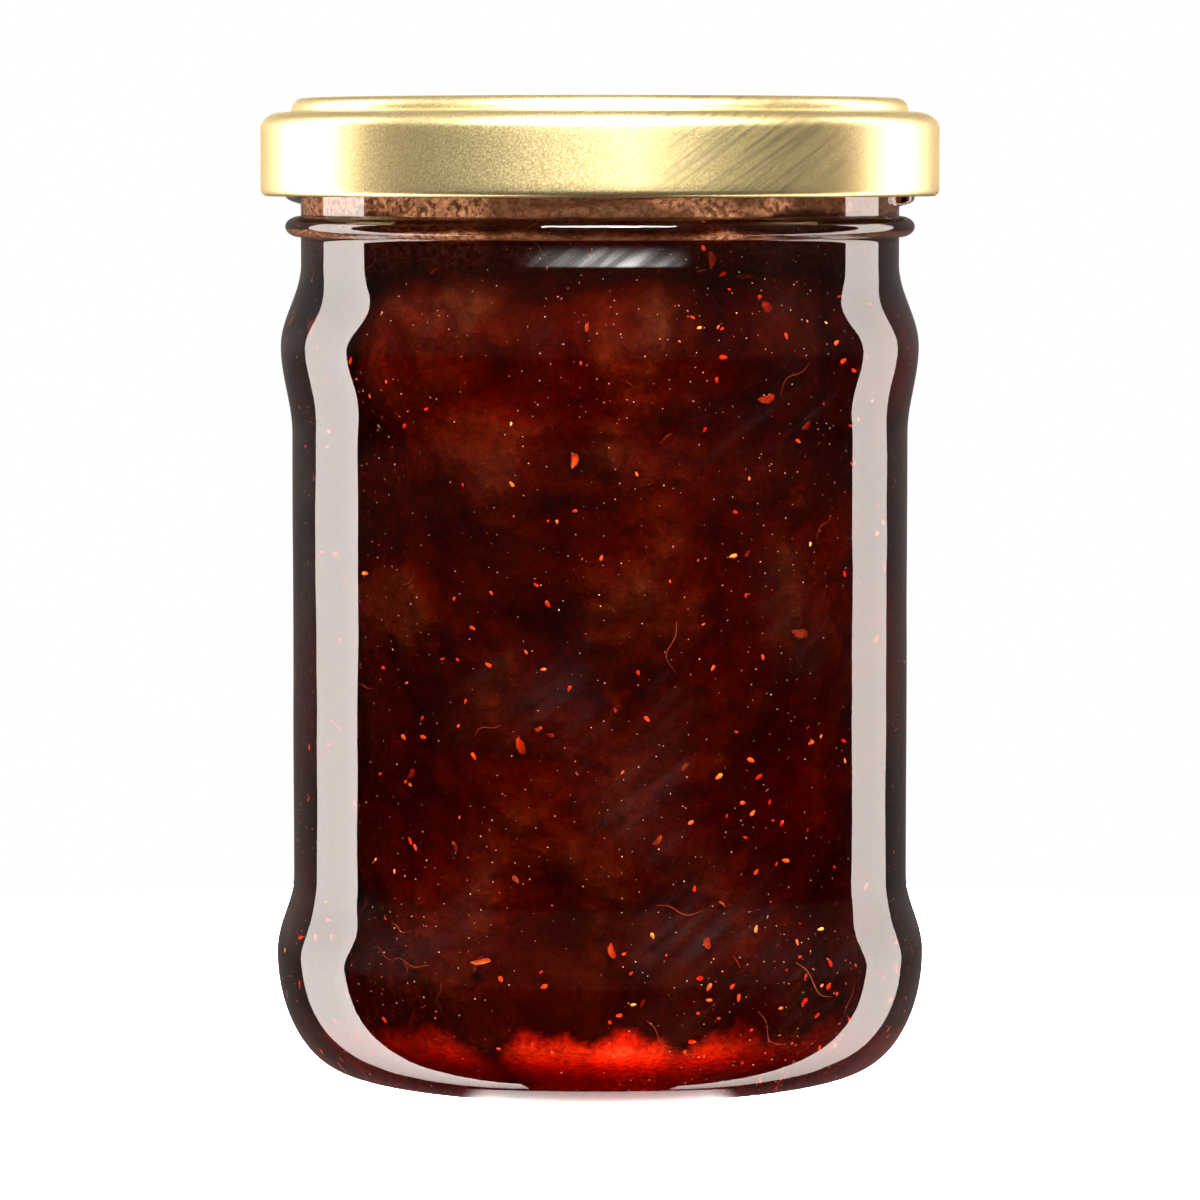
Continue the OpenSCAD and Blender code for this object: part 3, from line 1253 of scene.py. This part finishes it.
@dataclass
class JamFilling:
    """The jam: gel to just inside the glass, a core of fruit, and what is strewn between them.

    Sizes are in drawn millimetres.
    """

    jar: GlassJar
    reach: float = 0.2
    surface_z: float = 99.2
    meniscus: float = 0.6
    core_depth: float = 3.3
    core_floor: float = 4.5
    core_top: float = 98.8
    core_rough: float = 1.6
    shallowest: float = 1.3
    foam_z: float = 92.6
    foam_cover: float = 0.45
    thin_z: float = 8.2
    thin_cover: float = 0.4
    columns: int = 320
    rows: int = 230
    pieces: tuple[FruitPiece, ...] = (
        FruitPiece(-35, 76, 9, 9, 1.4, 1.0), FruitPiece(-22, 70, 7, 7, 1.0, 0.95),
        FruitPiece(2, 78, 7, 7, 2.7, 0.9), FruitPiece(14, 64, 9, 12, 2.3, 0.6),
        FruitPiece(22, 52, 8, 8, 2.7, 0.3), FruitPiece(-48, 52, 6, 5, 0.9, 0.55),
        FruitPiece(-12, 34, 9, 7, 2.6, 0.45), FruitPiece(10, 30, 8, 7, 2.9, 0.4),
        FruitPiece(-30, 22, 8, 7, 1.8, 0.75), FruitPiece(30, 20, 8, 6, 2.7, 0.45),
        FruitPiece(52, 56, 6, 7, 1.4, 0.8), FruitPiece(46, 32, 7, 6, 2.6, 0.6))
    more_pieces: int = 46
    thin_places: int = 3
    host_columns: int = 96

    def gel(self, trees: TreeShelf, material: bpy.types.Material) -> bpy.types.Object:
        """The clear gel, which reaches just into the glass.

        Args:
            trees: The Geometry Nodes trees.
            material: The gel's finish.

        Returns:
            The new object.
        """
        bore = self.jar.bore + self.reach
        top = [(bore - 3.0 * t, self.surface_z + self.meniscus * (1 - t) ** 2) for t in np.linspace(0, 1, 8)]
        line = joined(self.jar.inner_line(self.reach, 12),
                      straight((bore, self.jar.neck_z), (bore, self.surface_z + self.meniscus), 6),
                      top, straight((bore - 3.0, self.surface_z), (0.0, self.surface_z), 14))
        gel = trees.turned("jam_gel", line, 192, material)
        places = coordinates(gel)
        unit = SCALE.metres(1.0)
        on_top = (places[:, 2] > SCALE.metres(self.surface_z - 0.05)) & (
            np.hypot(places[:, 0], places[:, 1]) < SCALE.metres(bore - 1.0))
        for i in np.flatnonzero(on_top):
            places[i, 2] += 0.5 * unit * noise.noise(Vector(places[i]) * 90)
        set_coordinates(gel, places)
        return gel

    def all_pieces(self) -> list[FruitPiece]:
        """The pieces in front and, round the rest of the jar, ones at random places.

        Returns:
            All the pieces.
        """
        rng = np.random.default_rng(41)
        found = list(self.pieces)
        for _ in range(self.more_pieces):
            found.append(FruitPiece(rng.uniform(66, 294), rng.uniform(14, 90), rng.uniform(5, 9),
                                    rng.uniform(5, 9), rng.uniform(0.9, 3.0), rng.uniform(0.4, 1.0)))
        return found

    def wall_bore(self, levels: np.ndarray) -> np.ndarray:
        """Inside radius of the glass at each level, in drawn millimetres.

        Args:
            levels: Heights in drawn millimetres.

        Returns:
            The radius at each height.
        """
        neck = straight((self.jar.bore, self.jar.neck_z), (self.jar.bore, self.jar.height), 20)
        inner = np.array(joined(self.jar.inner_line(0.0, 40), neck))
        wall = inner[inner[:, 0] > self.jar.corner_r + 1]
        return np.interp(levels, wall[:, 1], wall[:, 0])

    def lumps(self, turn: np.ndarray, level: np.ndarray, reach: np.ndarray) -> tuple[np.ndarray, np.ndarray]:
        """Where pieces of fruit press towards the glass.

        Args:
            turn: Angle round the axis, in radians.
            level: Height in drawn millimetres.
            reach: Inside radius of the glass in drawn millimetres.

        Returns:
            Depth of the fruit under the glass in drawn millimetres, and its ripeness from 0 to 1.
        """
        depth, ripe = np.full(turn.shape, self.core_depth), np.zeros(turn.shape)
        for piece in self.all_pieces():
            middle = math.radians(piece.turn - 90)
            off = ((turn - middle + math.pi) % math.tau - math.pi) * reach
            away = np.sqrt((off / piece.wide) ** 2 + ((level - piece.level) / piece.tall) ** 2)
            lump = np.exp(-(away ** 2.4))
            depth = np.minimum(depth, self.core_depth - (self.core_depth - piece.cover) * lump)
            ripe = np.maximum(ripe, piece.ripe * np.exp(-(away / 1.15) ** 4))
        return depth, ripe

    @staticmethod
    def broken(turn: np.ndarray, level: np.ndarray) -> np.ndarray:
        """Uneven noise over the fruit, joined without a seam.

        Args:
            turn: Angle round the axis, in radians.
            level: Height in drawn millimetres.

        Returns:
            A value near 0 for each place, up to about 1 either way.
        """
        rough = np.empty(turn.shape)
        for (i, j), angle in np.ndenumerate(turn):
            seat = Vector((math.cos(angle) * 3.4, math.sin(angle) * 3.4, level[i, j] / 10))
            rough[i, j] = noise.fractal(seat, 0.8, 2.1, 4)
        return rough

    def thinness(self, turn: np.ndarray, level: np.ndarray, rough: np.ndarray) -> np.ndarray:
        """Where the jam is thin, low down and at even places round the jar, and so where the flesh is painted
        red with light coming through.

        Args:
            turn: Angle round the axis, in radians.
            level: Height in drawn millimetres.
            rough: The fruit's unevenness.

        Returns:
            Thinness from 0 to 1.
        """
        low_down = np.clip((self.thin_z + rough * 3 - level) / 3.5, 0, 1)
        gaps = (0.5 + 0.5 * np.cos(self.thin_places * (turn + math.pi / 2))) ** 2
        return low_down * (0.15 + 0.85 * gaps) * np.clip((level - self.core_floor - 0.2) / 0.9, 0.25, 1)

    def froth(self, level: np.ndarray, rough: np.ndarray) -> np.ndarray:
        """Where froth lies on the fruit: full at its top, with a faint scum below.

        Args:
            level: Height in drawn millimetres.
            rough: The fruit's unevenness.

        Returns:
            Froth from 0 to 1.
        """
        scum = np.clip((level + rough * 1.5 - self.foam_z + 6.5) / 5.5, 0, 1) * 0.1
        return np.maximum(np.clip((level + rough * 1.2 - self.foam_z) / 0.9, 0, 1), scum)

    def core(self, material: bpy.types.Material) -> bpy.types.Object:
        """The mass of cooked fruit, lumpy where a piece presses towards the glass.

        Args:
            material: The fruit's finish.

        Returns:
            The new object.
        """
        levels = np.linspace(self.core_floor, self.core_top, self.rows)
        turns = np.linspace(0, math.tau, self.columns, endpoint=False)
        turn, level = np.meshgrid(turns, levels, indexing="ij")
        reach = np.broadcast_to(self.wall_bore(levels), turn.shape)
        depth, ripe = self.lumps(turn, level, reach)
        rough = self.broken(turn, level)
        thin, foam = self.thinness(turn, level, rough), self.froth(level, rough)
        depth = np.clip(depth + rough * self.core_rough, self.shallowest, 14)
        depth = depth * (1 - thin) + self.thin_cover * thin
        nearer = np.minimum(foam * 5, 1)
        depth = depth * (1 - nearer) + self.foam_cover * nearer
        ends = np.clip(np.minimum((levels - self.core_floor) / 2.5, (self.core_top - levels) / 1.2), 0, 1)
        radius = (reach - depth) * (0.25 + 0.75 * np.sqrt(1 - (1 - ends) ** 2))
        unit = SCALE.metres(1.0)
        places = np.stack([radius * np.cos(turn), radius * np.sin(turn), level], -1).reshape(-1, 3) * unit
        count, rows = self.columns, self.rows
        low, high = len(places), len(places) + 1
        places = np.vstack([places, [[0, 0, self.core_floor * unit], [0, 0, self.core_top * unit]]])
        faces = tube_faces(count, rows)
        faces += [((i + 1) % count * rows, i * rows, low) for i in range(count)]
        faces += [(i * rows + rows - 1, (i + 1) % count * rows + rows - 1, high) for i in range(count)]
        made = mesh_object("jam_fruit", places, faces)
        for name, values, at_poles in (("ripe", ripe, [0.0, 0.0]), ("foam", foam, [0.0, 1.0]),
                                       ("thin", thin, [0.3, 0.0])):
            store(made, name, np.append(values.ravel(), at_poles))
        made.data.materials.append(material)
        made.data.shade_smooth()
        return made

    def host(self) -> bpy.types.Object:
        """The inside of the glass as a bare surface to strew things under.

        Returns:
            The new object.
        """
        line = np.array(self.jar.inner_line(-0.05, 10))
        line = line[line[:, 0] > 12]
        rows = [tuple(p) for p in line] + [(self.jar.bore - 0.05, self.surface_z - 1)]
        turns = np.linspace(0, math.tau, self.host_columns, endpoint=False)
        unit = SCALE.metres(1.0)
        places = [(r * math.cos(a) * unit, r * math.sin(a) * unit, z * unit) for a in turns for r, z in rows]
        return mesh_object("strew_host", places, tube_faces(self.host_columns, len(rows)))

    def strew(self, trees: TreeShelf, name: str, shape: bpy.types.Object, finish: bpy.types.Material,
              **values: object) -> bpy.types.Object:
        """Strews copies of shape under the inside of the glass.

        Args:
            trees: The Geometry Nodes trees.
            name: The piece's name.
            shape: The small shape to copy.
            finish: Its material.
            **values: The scatter tree's other inputs, with underscores for spaces.

        Returns:
            One mesh of all the copies.
        """
        made = self.host()
        made.name = name
        inputs = {key.replace("_", " "): value for key, value in values.items()}
        run_geometry_nodes(made, trees.scatter, inputs | {"Shape": shape, "Material": finish})
        bpy.data.objects.remove(shape)
        return made

    def build(self, trees: TreeShelf) -> None:
        """Makes the gel, the fruit and all that is strewn through the gel.

        Args:
            trees: The Geometry Nodes trees.
        """
        gel = self.gel(trees, SetGel().build())
        fruit = self.core(FruitFlesh().build())
        mm = SCALE.metres(1.0)
        # The seeds' small glow is painted light coming through the gel.
        seeds = self.strew(trees, "jam_seeds", SmallShapes.seed(), SmallBits(
            "seed_husk", (0.95, 0.62, 0.28), (0.5, 0.05, 0.02), 0.35, 0.04).build(),
            Density=0.055 / mm ** 2, Patchiness=0.92, Patch_Scale=75.0, Shallowest=0.5 * mm, Deepest=3.4 * mm,
            Depth_Power=0.7, Smallest=0.35, Largest=1.05, Tumble=0.5, Seed=7)
        shreds = self.strew(trees, "jam_shreds", SmallShapes.shred(), SmallBits(
            "fruit_shred", (0.14, 0.05, 0.016), (0.05, 0.012, 0.006)).build(),
            Density=0.016 / mm ** 2, Patchiness=0.9, Patch_Scale=50.0, Shallowest=0.8 * mm, Deepest=3.8 * mm,
            Depth_Power=0.7, Smallest=0.4, Largest=1.3, Tumble=0.5, Seed=19)
        fibres = self.strew(trees, "jam_fibres", SmallShapes.fibre(), SmallBits(
            "fruit_fibre", (0.13, 0.055, 0.022), (0.06, 0.022, 0.01)).build(),
            Density=0.004 / mm ** 2, Patchiness=0.8, Patch_Scale=40.0, Shallowest=0.5 * mm, Deepest=2.5 * mm,
            Depth_Power=1.0, Smallest=0.6, Largest=1.4, Tumble=0.3, Seed=34)
        # The bubbles' near-white colour and glow are a painted highlight, for light caught by tiny air
        # bubbles.
        bubbles = self.strew(trees, "jam_bubbles", SmallShapes.bubble(), SmallBits(
            "air_bubble", (1.0, 0.95, 0.9), (0.9, 0.75, 0.6), 0.1, 0.15).build(),
            Density=0.3 / mm ** 2, Patchiness=0.55, Patch_Scale=55.0, Shallowest=0.05 * mm, Deepest=0.6 * mm,
            Depth_Power=1.0, Smallest=0.3, Largest=1.1, Tumble=0.0, Seed=31)
        for piece in (gel, fruit, seeds, shreds, fibres, bubbles):
            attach(piece, BODY)
            LOG.info("jam: %s has %d faces", piece.name, len(piece.data.polygons))
        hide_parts("jam")


class SmallShapes:
    """The small shapes that are strewn through the gel, each made once at the origin."""

    @staticmethod
    def rounded(name: str, size: tuple[float, float, float], taper: float, around: int = 8,
                along: int = 6) -> bpy.types.Object:
        """A closed drop shape.

        Args:
            name: The object's name.
            size: Its width, length and thickness in drawn millimetres.
            taper: How much narrower its front end is, from 0 to 1.
            around: Faces round its length.
            along: Rings along its length.

        Returns:
            The new object.
        """
        rings = [math.pi * k / along for k in range(1, along)]
        wide = [math.sin(p) * (1 - taper * (1 + math.cos(p)) / 2) for p in rings]
        corners = [math.tau * i / around for i in range(around)]
        places = [(size[0] / 2 * w * math.cos(a), size[1] / 2 * math.cos(p), size[2] / 2 * w * math.sin(a))
                  for p, w in zip(rings, wide, strict=True) for a in corners]
        places = [tuple(SCALE.metres(c) for c in p) for p in places]
        first, last = len(places), len(places) + 1
        places += [(0.0, SCALE.metres(size[1] / 2), 0.0), (0.0, -SCALE.metres(size[1] / 2), 0.0)]
        faces, foot = [], (len(rings) - 1) * around
        for i, after in ((i, (i + 1) % around) for i in range(around)):
            faces += [(k + i, k + around + i, k + around + after, k + after) for k in range(0, foot, around)]
            faces += [(first, i, after), (foot + after, foot + i, last)]
        return mesh_object(name, places, [f[::-1] for f in faces])

    @classmethod
    def seed(cls) -> bpy.types.Object:
        """A strawberry seed, pointed at one end."""
        return cls.rounded("seed_shape", (0.6, 0.9, 0.42), 0.5)

    @classmethod
    def bubble(cls) -> bpy.types.Object:
        """A tiny round bubble."""
        return cls.rounded("bubble_shape", (0.1, 0.1, 0.1), 0.0, 5, 3)

    @classmethod
    def shred(cls) -> bpy.types.Object:
        """A ragged flake of fruit.

        Returns:
            The new object.
        """
        made = cls.rounded("shred_shape", (0.9, 1.9, 0.2), 0.2, 10, 8)
        places = coordinates(made)
        for i, place in enumerate(places):
            ragged = noise.noise(Vector(place) * 900) * 0.6 + noise.noise(Vector(place) * 2200) * 0.35
            places[i, :2] *= 1 + ragged
            places[i, 2] += SCALE.metres(0.4) * noise.noise(Vector(place) * 600)
        set_coordinates(made, places)
        return made

    @classmethod
    def fibre(cls) -> bpy.types.Object:
        """A thin bent fibre.

        Returns:
            The new object.
        """
        made = cls.rounded("fibre_shape", (0.11, 4.6, 0.11), 0.4, 5, 14)
        places = coordinates(made)
        length = SCALE.metres(2.3)
        along = places[:, 1] / length
        places[:, 0] += SCALE.metres(0.6) * np.cos(along * 1.5) + SCALE.metres(0.3) * np.sin(along * 4.0)
        places[:, 2] -= SCALE.metres(0.25) * along ** 2
        set_coordinates(made, places)
        return made


# -------------------------------------------------------------- the studio


@dataclass
class Studio:
    """Pale floor, two side softboxes, lamps above the front, one on the lid, a dim room and the camera.

    The floor and the room show the glass less light than they show the camera, as dark flags beside a table
    would, because clear glass is only as dark as what it mirrors.
    """

    camera_away: float = 650.0
    camera_up: float = 98.7
    tilt: float = 4.18
    lens_mm: float = 178.68
    floor_r: float = 170.0
    floor_glow: float = 2.8
    floor_through_glass: float = 0.45
    floor_near_glass: float = 4.4
    floor_sides: int = 96
    mirror_gap: float = 1.9
    mirror_side: Point = (11.5, 15.0)
    room_front: float = 0.06
    table_front: float = 0.004
    room_rear: float = 0.12
    bounces: int = 24
    lamp_aim: float = 60.0
    lamp_tone: Colour = (1.0, 0.99, 0.97)

    def floor_finish(self) -> bpy.types.Material:
        """Pale and lit a little from below, but clear to what the glass mirrors, save close under the glass.

        Returns:
            The new material.
        """
        material, write, shader, output = start_material("pale_floor")
        place = object_place(write)
        colour = write.blend(noise_at(write, place, 30.0), (0.93, 0.93, 0.92), (0.95, 0.95, 0.94))
        write.dress(shader, {"Base Color": colour, "Roughness": 0.9, "Specular IOR Level": 0.0,
                             "Emission Color": (1.0, 0.97, 0.95, 1.0), "Emission Strength": self.floor_glow})
        path, along = write.add("ShaderNodeLightPath").outputs, write.axes(place)
        not_through = write.math("SUBTRACT", 1.0, path["Is Transmission Ray"])
        mirrored = write.times(path["Is Glossy Ray"], not_through)
        aside = write.math("MINIMUM", write.math("ABSOLUTE", along["X"]), write.math("ABSOLUTE", along["Y"]))
        beyond = write.math("GREATER_THAN", path["Ray Length"], SCALE.metres(self.mirror_gap))
        far = write.math("MAXIMUM", beyond, write.ramp(aside, *SCALE.span(self.mirror_side)))
        through_base = write.times(path["Is Transmission Ray"],
                                   write.math("LESS_THAN", path["Transmission Depth"], 2.5))
        strength = write.math("MAXIMUM", write.times(mirrored, self.floor_near_glass),
                              write.times(through_base, self.floor_through_glass))
        dim = write.add("ShaderNodeEmission", {"Color": (1.0, 0.9, 0.87, 1.0), "Strength": strength})
        seen = write.mix(write.math("MAXIMUM", mirrored, through_base), shader.outputs[0], dim.outputs[0])
        clear = write.add("ShaderNodeBsdfTransparent")
        write.feed(output.inputs["Surface"], write.mix(write.times(mirrored, far), seen, clear.outputs[0]))
        return material

    def floor(self) -> None:
        """A pale round floor under the jar."""
        turns = np.linspace(0, math.tau, self.floor_sides, endpoint=False)
        radius = SCALE.metres(self.floor_r)
        floor = mesh_object("floor", [(radius * math.cos(a), radius * math.sin(a), 0.0) for a in turns],
                            [tuple(range(self.floor_sides))])
        floor.data.materials.append(self.floor_finish())

    def side_box(self, name: str, front: float, rear: float, power: tuple[float, float],
                 tone: Colour) -> None:
        """A tall softbox beside the jar, dimmer towards its rear edge.

        Args:
            name: Its name.
            front: Angle of its front edge from the camera's direction, in degrees, positive to the right.
            rear: The same for its rear edge.
            power: Brightness at its front edge and at its rear edge.
            tone: Its colour.
        """
        away, low, high = SCALE.metres(500.0), SCALE.metres(-1800.0), SCALE.metres(560.0)
        edges = [(away * math.sin(math.radians(a)), -away * math.cos(math.radians(a))) for a in (front, rear)]
        box = mesh_object(name, [(*edges[0], low), (*edges[1], low), (*edges[1], high), (*edges[0], high)],
                          [(0, 1, 2, 3)])
        store(box, "across", np.array([0.0, 1.0, 1.0, 0.0]))
        material, write, shader, output = start_material(name + "_light")
        strength = write.times(power[0], write.math("POWER", power[1] / power[0], write.attribute("across")))
        glow = write.add("ShaderNodeEmission", {"Color": (*tone, 1.0), "Strength": strength})
        write.feed(output.inputs["Surface"], glow.outputs[0])
        material.node_tree.nodes.remove(shader)
        box.data.materials.append(material)
        box.visible_camera = False

    def lamp(self, name: str, azimuth: float, elevation: float, away: float, size: tuple[float, float],
             power: float) -> bpy.types.Object:
        """An area lamp that faces the jar's middle.

        Args:
            name: Its name.
            azimuth: Its angle from the camera's direction, in degrees, positive to the right.
            elevation: Its angle above the horizon, in degrees.
            away: Its distance, in drawn millimetres.
            size: Its width and height, in drawn millimetres.
            power: Its power in watts.

        Returns:
            The lamp.
        """
        data = bpy.data.lights.new(name, "AREA")
        data.shape = "RECTANGLE"
        data.size, data.size_y = (SCALE.metres(s) for s in size)
        data.energy, data.color = power, self.lamp_tone
        lamp = bpy.data.objects.new(name, data)
        bpy.context.scene.collection.objects.link(lamp)
        aim = Vector((0, 0, SCALE.metres(self.lamp_aim)))
        a, e = math.radians(azimuth), math.radians(elevation)
        heading = Vector((math.sin(a) * math.cos(e), -math.cos(a) * math.cos(e), math.sin(e)))
        offset = heading * SCALE.metres(away)
        lamp.location = aim + offset
        lamp.rotation_euler = (-offset).to_track_quat("-Z", "Y").to_euler()
        return lamp

    def light_lid(self, lid: Sequence[bpy.types.Object]) -> None:
        """A soft lamp beside the camera that lights the lid's front and nothing else.

        Args:
            lid: The lid's pieces.
        """
        glow = self.lamp("lid_light", 11, 4, 600, (60, 60), 0.13)
        only = bpy.data.collections.new("lid_light_on")
        for piece in lid:
            only.objects.link(piece)
        glow.light_linking.receiver_collection = only

    def sky(self) -> None:
        """White behind the jar, and a dim grey room for all that it mirrors."""
        world = bpy.data.worlds.new("studio")
        bpy.context.scene.world = world
        world.use_nodes = True
        write = TreeWriter(world.node_tree)
        world.node_tree.nodes.clear()
        seen = write.add("ShaderNodeLightPath").outputs["Is Camera Ray"]
        heading = write.axes(write.add("ShaderNodeTexCoord").outputs["Generated"])
        ahead = write.ramp(heading["Z"], -0.11, 0.0, self.table_front, self.room_front)
        dim = write.plus(ahead, write.ramp(heading["Y"], 0.1, 0.85, 0.0, self.room_rear))
        room = write.add("ShaderNodeBackground", {"Color": (1.0, 0.85, 0.8, 1.0), "Strength": dim})
        white = write.add("ShaderNodeBackground", {"Color": (1.0, 1.0, 1.0, 1.0), "Strength": 1.0})
        both = write.mix(seen, room.outputs[0], white.outputs[0])
        write.add("ShaderNodeOutputWorld", {"Surface": both})

    def camera(self) -> None:
        """A long lens level with the lid, tipped down a little to centre the jar."""
        data = bpy.data.cameras.new("camera")
        data.lens = self.lens_mm
        camera = bpy.data.objects.new("camera", data)
        bpy.context.scene.collection.objects.link(camera)
        camera.location = (0.0, -SCALE.metres(self.camera_away), SCALE.metres(self.camera_up))
        camera.rotation_euler = (math.radians(90 - self.tilt), 0.0, 0.0)
        bpy.context.scene.camera = camera

    def build(self) -> None:
        """Sets up the whole studio."""
        scene = bpy.context.scene
        scene.view_settings.view_transform = "Standard"
        for kind in ("max_bounces", "transmission_bounces", "transparent_max_bounces"):
            setattr(scene.cycles, kind, self.bounces)
        scene.cycles.caustics_refractive = True
        self.camera()
        self.sky()
        self.floor()
        self.side_box("left_box", -99, -129, (10.5, 4.4), (1.0, 0.9, 0.84))
        self.side_box("right_box", 105, 131, (8.0, 4.0), (1.0, 0.88, 0.82))
        self.lamp("high_box", 4, 49, 620, (430, 90), 14.0)
        self.lamp("key_box", 10, 49, 610, (150, 84), 9.5)
        self.lamp("bead_strip", 4, 44.2, 620, (340, 26), 9.0)


def main() -> None:
    """Builds the jar, the lid, the jam and the studio in turn."""
    logging.basicConfig(level=logging.INFO, format="%(name)s: %(message)s")
    studio = Studio()
    studio.build()
    trees, shelf = TreeShelf(), ShaderShelf()
    jar = GlassJar()
    flint = FlintGlass()
    glass = jar.build(trees, flint.build(shelf), flint.wetted())
    LOG.info("glass: %d faces", len(glass.data.polygons))
    studio.light_lid(TwistLid().build(trees, GoldLacquer().build(shelf)))
    JamFilling(jar).build(trees)


if __name__ == "__main__":
    main()
